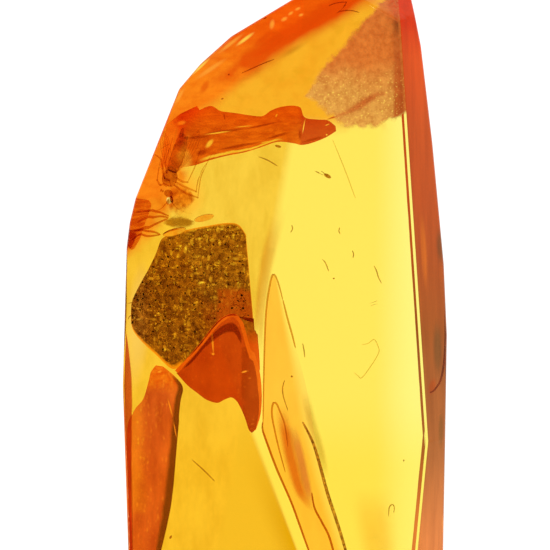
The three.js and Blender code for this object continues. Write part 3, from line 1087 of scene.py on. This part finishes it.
tongue_film = film(TONGUE_LEFT, TONGUE_RIGHT, TONGUE_LEVEL, 0.2, 80, 12)
sealed("resin_tongue", tongue_film, "veil", stained_glass("tongue_gold", tongue_colour, 0.0))
line_brown = stained_glass("line_brown", plain((0.58, 0.22, 0.03, 1)), 0.0, 1.05)
sealed("tongue_lines", threads(TONGUE_LINES, TONGUE_LEVEL + 0.4, 0.2, 6, 40), "veil", line_brown)
fine_brown = stained_glass("fine_brown", plain((0.72, 0.42, 0.15, 1)), 0.0, 1.05)
fine_lines = threads(TONGUE_FINE_LINES, TONGUE_LEVEL + 0.4, 0.18, 6, 50)
sealed("tongue_fine_lines", fine_lines, "veil", fine_brown)
dusty = mottled((0.2, 0.08, 0.03, 1), (0.75, 0.45, 0.2, 1), 0.22, 0.12)
dust_brown = stained_glass("dust_brown", dusty, 0.0)
sealed("dust_line", threads([DUST_LINE], TONGUE_LEVEL + 0.6, 0.3, 6, 60), "litter", dust_brown)
for level_step, (name, (left, right, stain)) in enumerate(SMEARS_AND_SHADES.items()):
    smear_and_shade_film = film(left, right, TONGUE_LEVEL - 1.6 + 0.3 * level_step, 0.1, 30, 10)
    smear_and_shade_tint = stained_glass(name + "_stain", faded(plain(stain), 0.3, 0.4, 0.03), 0.0)
    sealed(name, smear_and_shade_film, "veil", smear_and_shade_tint)


# A dark crease runs down inside the right side, close under the bevel, and hooks inwards.
SIDE_CREASE = [
    (10.55, 19.9), (11.1, 14.5), (11.6, 9.85), (11.95, 5.9), (12.22, 2.6), (12.3, -1.6), (12.15, -4.0),
    (11.8, -5.6), (11.25, -6.4), (10.75, -6.7)
]

crease_brown = stained_glass("crease_brown", plain((0.5, 0.22, 0.12, 1)), 0.0, 1.05)
sealed("side_crease", threads([SIDE_CREASE], 10.6, 0.22, 6, 60), "veil", crease_brown)


# Single specks, plant hairs and scraps of dust hang in the clear resin, each as it was caught.
SPECKS = [
    (3.4, 10.35, 150, 0.62, 0.3, 0.2),
    (0.6, -5.4, 0, 0.16, 0.16, 0.16),
    (3.9, 2.3, 0, 0.16, 0.13, 0.12),
    (-8.8, -18.0, 60, 0.3, 0.16, 0.14),
    (-1.2, 22.3, 20, 0.3, 0.12, 0.12),
    (-4.2, 18.3, 0, 0.14, 0.12, 0.1),
    (-4.7, 16.4, 30, 0.2, 0.12, 0.1),
    (-0.3, 12.65, 165, 0.5, 0.2, 0.14),
    (9.4, -12.0, 80, 0.16, 0.1, 0.1),
]
HAIRS = [
    [(2.4, 10.75), (2.8, 10.55), (3.1, 10.4)],
    [(2.9, 10.75), (3.15, 10.55), (3.4, 10.35)],
    [(-1.85, 11.85), (-1.2, 11.6), (-0.75, 11.35), (-0.35, 11.1)],
    [(3.0, 3.8), (3.25, 3.5), (3.5, 2.85)],
    [(7.05, 3.3), (7.25, 2.9), (7.4, 2.4), (7.65, 1.9)],
    [(-7.1, -11.9), (-6.2, -12.7), (-5.3, -13.6)],
    [(8.2, -16.4), (8.25, -15.7), (8.5, -15.45), (8.65, -15.7), (8.6, -16.1)],
    [(5.35, 4.5), (5.45, 4.2), (5.4, 3.9)],
    [(0.6, 6.5), (0.65, 6.2), (0.5, 5.9)],
    [(4.35, 6.3), (4.3, 6.0), (4.4, 5.8)],
    [(3.9, 23.1), (4.5, 23.3), (5.2, 23.35), (5.9, 23.2)],
    [(-3.2, 18.4), (-2.3, 18.8), (-1.4, 19.2), (-0.6, 19.5)],
    [(0.03, -5.7), (-0.12, -6.3), (-0.05, -7.0), (0.3, -8.1)],
    [(1.45, -2.8), (1.55, -3.3), (1.62, -3.9)],
    [(6.7, 0.35), (7.0, 0.42), (7.3, 0.55)],
    [(6.8, 0.15), (7.1, 0.25), (7.35, 0.3)],
]
BENT_HAIR = [
    (6.1, -2.9), (6.6, -2.8), (7.07, -2.5), (7.4, -3.1), (7.4, -3.6), (6.8, -4.6), (6.1, -5.5),
    (5.8, -5.35), (5.5, -5.1),
]
FAINT_LINE = [(3.8, 13.2), (4.3, 12.0), (4.9, 10.5), (5.3, 9.4), (5.6, 8.6)]
SPECK_LEVEL = 9.0


def egg(mesh, x, y, z, facing, length, width, height, subdivisions=3):
    """A rounded grain, drawn out along its facing."""
    size = Matrix.Diagonal((length / 2, width / 2, height / 2, 1))
    place = Matrix.Translation((x, y, z)) @ Matrix.Rotation(math.radians(facing), 4, "Z") @ size
    place = Matrix.Scale(MM, 4) @ place
    made = bmesh.ops.create_icosphere(mesh, subdivisions=subdivisions, radius=1, matrix=place)
    return made["verts"]


def specks(places, level):
    mesh = bmesh.new()
    for x, y, *shape in places:
        for vert in egg(mesh, x, y, level, *shape):
            dent = noise.noise(vert.co / (0.12 * MM))
            vert.co.z += 0.03 * MM * dent
    return smoothed(mesh)


speckled = mottled((0.3, 0.12, 0.02, 1), (0.7, 0.4, 0.12, 1), 0.2)
speck_brown = stained_glass("speck_brown", speckled, 0.1, 1.15)
sealed("specks", specks(SPECKS, SPECK_LEVEL), "litter", speck_brown)
streaked = mottled((0.35, 0.2, 0.08, 1), (0.7, 0.5, 0.25, 1), 0.3)
hair_brown = stained_glass("hair_brown", streaked, 0.0, 1.05)
sealed("plant_hairs", threads(HAIRS, SPECK_LEVEL, 0.11), "litter", hair_brown)
pale_hair = stained_glass("pale_hair", plain((0.8, 0.66, 0.4, 1)), 0.0, 1.05)
sealed("bent_hair", threads([BENT_HAIR, FAINT_LINE], SPECK_LEVEL, 0.09, 6, 60), "litter", pale_hair)


# The gnat was caught head down on the left shoulder. Its body, legs and antennae are thin brown
# cuticle, its wings lie folded back along the abdomen, and its eye still shines like a bead.
GNAT_BODY = [
    (-8.6, 10.6, 9.5), (-8.2, 11.6, 9.6), (-7.9, 12.5, 9.5), (-7.65, 13.3, 9.35),
    (-7.5, 13.95, 9.25),
]
BODY_SEGMENTS = 7
BODY_RADII = (0.24, 0.36, 0.4, 0.36, 0.28, 0.18, 0.07)
THORAX = (-8.72, 10.1, 9.5, 70, 1.3, 0.9, 1.0)
SCUTELLUM = (-8.55, 10.75, 9.8, 70, 0.4, 0.5, 0.3)
HEAD = (-8.95, 8.95, 9.4, 70, 0.6, 0.74, 0.66)
SNOUT = (-9.0, 8.3, 9.25, 80, 0.5, 0.22, 0.24)
EYES = [(-8.72, 8.5, 9.5, 100, 0.6, 0.26, 0.4)]
LEGS = [
    [(-8.5, 9.6), (-7.65, 9.0), (-6.66, 8.63), (-6.41, 10.2), (-5.81, 11.57), (-5.5, 12.1)],
    [(-8.4, 9.85), (-7.65, 9.46), (-6.78, 9.1), (-6.65, 9.9), (-6.3, 10.8), (-5.9, 11.4)],
    [(-8.35, 10.2), (-7.9, 9.9), (-7.46, 9.83), (-6.92, 10.95), (-6.6, 11.9), (-6.4, 12.5)],
    [(-9.0, 9.6), (-9.35, 9.5), (-9.6, 9.9), (-9.5, 10.6), (-9.35, 11.3), (-9.3, 11.8)],
    [(-8.9, 10.0), (-9.1, 10.3), (-9.2, 10.8), (-9.05, 11.5), (-8.85, 12.2), (-8.75, 12.7)],
    [(-8.8, 10.4), (-8.9, 10.8), (-8.95, 11.3), (-8.7, 12.1), (-8.45, 12.8), (-8.3, 13.3)],
]
HIP_LEVEL = 9.35
KNEE_LEVEL = 9.65
ANTENNAE = [
    [(-9.0, 8.4, 9.6), (-9.5, 7.8, 9.7), (-10.2, 7.5, 9.6), (-10.9, 7.3, 9.5)],
    [(-8.75, 8.35, 9.5), (-8.3, 7.8, 9.6), (-7.7, 7.5, 9.5), (-7.1, 7.35, 9.4)],
]
ANTENNA_BEADS = 14
WINGS = {
    "left": (
        [(-8.8, 10.4), (-9.1, 11.3), (-9.4, 12.4), (-9.45, 13.2), (-9.25, 13.8)],
        [(-8.8, 10.4), (-8.65, 11.3), (-8.6, 12.4), (-8.8, 13.2), (-9.2, 13.8)],
    ),
    "right": (
        [(-8.5, 10.4), (-7.6, 11.3), (-6.8, 12.4), (-6.5, 13.3), (-6.55, 13.9)],
        [(-8.5, 10.4), (-7.9, 11.5), (-7.5, 12.7), (-7.1, 13.5), (-6.6, 13.95)],
    ),
}
WING_VEINS = (0.0, 0.28, 0.52, 0.78, 1.0)
WING_LEVEL = 10.0
TORN_EDGE = [
    (-9.95, 12.05), (-9.45, 11.7), (-9.2, 11.45), (-9.15, 11.05), (-9.0, 10.7), (-8.95, 10.2),
    (-8.75, 9.5),
]


def gnat_body():
    mesh = bmesh.new()
    steps = BODY_SEGMENTS * 6
    path = [along(GNAT_BODY, step / steps) * MM for step in range(steps + 1)]
    radii = []
    for step in range(steps + 1):
        stout = along([(radius, 0) for radius in BODY_RADII], step / steps).x
        groove = 0.86 + 0.14 * abs(math.sin(math.pi * BODY_SEGMENTS * step / steps)) ** 0.5
        radii.append(stout * groove * MM)
    sweep(mesh, path, radii, 16)
    for part in (THORAX, SCUTELLUM, HEAD, SNOUT):
        egg(mesh, *part)
    return smoothed(mesh)


def gnat_legs():
    """Each leg is a short coxa, a stout femur, a thin tibia and a tarsus drawn out to a claw."""
    mesh = bmesh.new()
    levels = (HIP_LEVEL, KNEE_LEVEL, KNEE_LEVEL, KNEE_LEVEL - 0.1, HIP_LEVEL, HIP_LEVEL - 0.1)
    for places in LEGS:
        hip, middle, knee, shin, ankle, claw = [Vector((*place, z)) for place, z in zip(places, levels)]
        heel = shin.lerp(ankle, 0.5)
        bones = (((hip, middle, knee), 0.17), ((knee, shin, heel), 0.1), ((heel, ankle, claw), 0.06))
        for points, thick in bones:
            thread(mesh, points, 0, thick, 8, 16)
        for joint in (knee, hip):
            egg(mesh, *joint, 0, 0.16, 0.16, 0.16, 2)
    return smoothed(mesh)


def gnat_antennae():
    mesh = bmesh.new()
    for points in ANTENNAE:
        steps = ANTENNA_BEADS * 4
        path = [along(points, step / steps) * MM for step in range(steps + 1)]
        radii = []
        for step in range(steps + 1):
            bead = 0.6 + 0.4 * abs(math.sin(math.pi * ANTENNA_BEADS * step / steps))
            radii.append(0.06 * bead * (1 - 0.6 * step / steps) * MM)
        sweep(mesh, path, radii, 8)
    return smoothed(mesh)


def wing_veins():
    mesh = bmesh.new()
    for front, back in WINGS.values():
        for share in WING_VEINS:
            vein = [along(front, step / 8).lerp(along(back, step / 8), share) for step in range(9)]
            thread(mesh, vein, WING_LEVEL + 0.06, 0.06, 6, 24)
        crossing = [along(front, 0.5), along(front, 0.55).lerp(along(back, 0.55), 0.5), along(back, 0.6)]
        thread(mesh, crossing, WING_LEVEL + 0.06, 0.05, 6, 12)
    return smoothed(mesh)


def eye_material():
    material, tree, shader = fresh_material("gnat_eye")
    cells = node(tree, "TexVoronoi", {"Vector": place_in_stone(tree), "Scale": 1 / (0.05 * MM)})
    facet = cells.outputs["Distance"]
    colour = tint(tree, soft_step(tree, facet, 0.1, 0.6), (1, 0.82, 0.5, 1), (0.6, 0.35, 0.1, 1))
    tree.links.new(colour, shader.inputs["Base Color"])
    bump = node(tree, "Bump", {"Height": facet, "Strength": 0.15, "Distance": 0.00001})
    tree.links.new(bump.outputs["Normal"], shader.inputs["Normal"])
    shader.inputs["Roughness"].default_value = 0.18
    shader.inputs["Metallic"].default_value = 1
    return material


cuticle = mottled((0.46, 0.24, 0.08, 1), (0.86, 0.6, 0.32, 1), 0.45, 0.14, None, 3.0)
gnat_brown = stained_glass("gnat_brown", cuticle, 0.06, 1.02)
leg_brown = stained_glass("leg_brown", plain((0.8, 0.56, 0.28, 1)), 0.0, 1.003)
sealed("gnat_body", gnat_body(), "gnat", gnat_brown)
sealed("gnat_legs", gnat_legs(), "gnat", leg_brown)
sealed("gnat_antennae", gnat_antennae(), "gnat", leg_brown)
eye_mesh = bmesh.new()
for eye in EYES:
    egg(eye_mesh, *eye)
sealed("gnat_eyes", smoothed(eye_mesh), "gnat", eye_material())
membrane = mottled((0.94, 0.84, 0.7, 1), (1, 0.96, 0.9, 1), 0.4)
wing_clear = stained_glass("wing_clear", membrane, 0.02, 1.02)
for side, (front, back) in WINGS.items():
    wing_film = film(front, back, WING_LEVEL, 0.03, 30, 10, 0.05, 0.6)
    sealed("gnat_wing_" + side, wing_film, "wing", wing_clear)
vein_brown = stained_glass("vein_brown", plain((0.86, 0.68, 0.45, 1)), 0.0, 1.01)
sealed("gnat_wing_veins", wing_veins(), "wing", vein_brown)
sealed("torn_edge", threads([TORN_EDGE], 9.0, 0.16, 6, 40), "veil", leg_brown)


# Beside the gnat's head the resin is shaded brown. Under it lie a smudge of froth, two long flat
# bubbles, and a hanging drop of dark resin at the left side.
FROTH_TOP = [(-9.4, 6.75), (-8.7, 7.2), (-7.8, 7.2), (-6.8, 6.75)]
FROTH_FOOT = [(-9.4, 6.55), (-8.6, 6.2), (-7.7, 6.15), (-6.8, 6.55)]
HEAD_TOP = [(-9.1, 8.7), (-8.8, 9.7), (-7.9, 9.9), (-7.2, 9.3), (-6.8, 8.6)]
HEAD_FOOT = [(-9.1, 8.3), (-8.7, 7.3), (-8.0, 7.2), (-7.2, 7.9), (-6.8, 8.5)]
DROP_TOP = [(-12.2, 5.9), (-11.9, 6.02), (-11.5, 5.95), (-11.2, 5.7)]
DROP_FOOT = [(-12.15, 5.2), (-12.0, 4.7), (-11.75, 4.4), (-11.45, 5.0)]
BUBBLES = [(-6.15, 7.02, 9.6, 14, 1.6, 0.52, 0.4), (-8.5, 5.93, 9.6, 15, 1.9, 0.56, 0.36)]

froth_brown = mottled((0.4, 0.24, 0.07, 1), (0.6, 0.4, 0.14, 1), 0.4)
froth_stain = stained_glass("froth_stain", faded(froth_brown, 0.2, 0.3, 0.16, 0.3), 0.0)
shade_brown = mottled((0.56, 0.24, 0.06, 1), (0.92, 0.6, 0.3, 1), 0.35, 0.16, None, 6.0)
shade_stain = stained_glass("shade_stain", faded(shade_brown, 0.25, 0.3, 0.16, 0.3), 0.0)
sealed("froth", film(FROTH_TOP, FROTH_FOOT, 9.0, 0.1, 30, 12), "litter", froth_stain)
sealed("head_shade", film(HEAD_TOP, HEAD_FOOT, 8.8, 0.1, 30, 12), "litter", shade_stain)
drop_stain = stained_glass("drop_red", faded(plain((0.6, 0.2, 0.05, 1)), 0.1, 0.15), 0.0)
sealed("resin_drop", film(DROP_TOP, DROP_FOOT, 9.8, 0.2, 24, 12), "veil", drop_stain)
bubble_mesh = bmesh.new()
for bubble in BUBBLES:
    egg(bubble_mesh, *bubble)
golden = mottled((0.9, 0.4, 0.12, 1), (1, 0.8, 0.5, 1), 0.3)
bubble_clear = stained_glass("bubble_clear", golden, 0.0, 1.08)
sealed("flat_bubbles", smoothed(bubble_mesh), "bubble", bubble_clear)
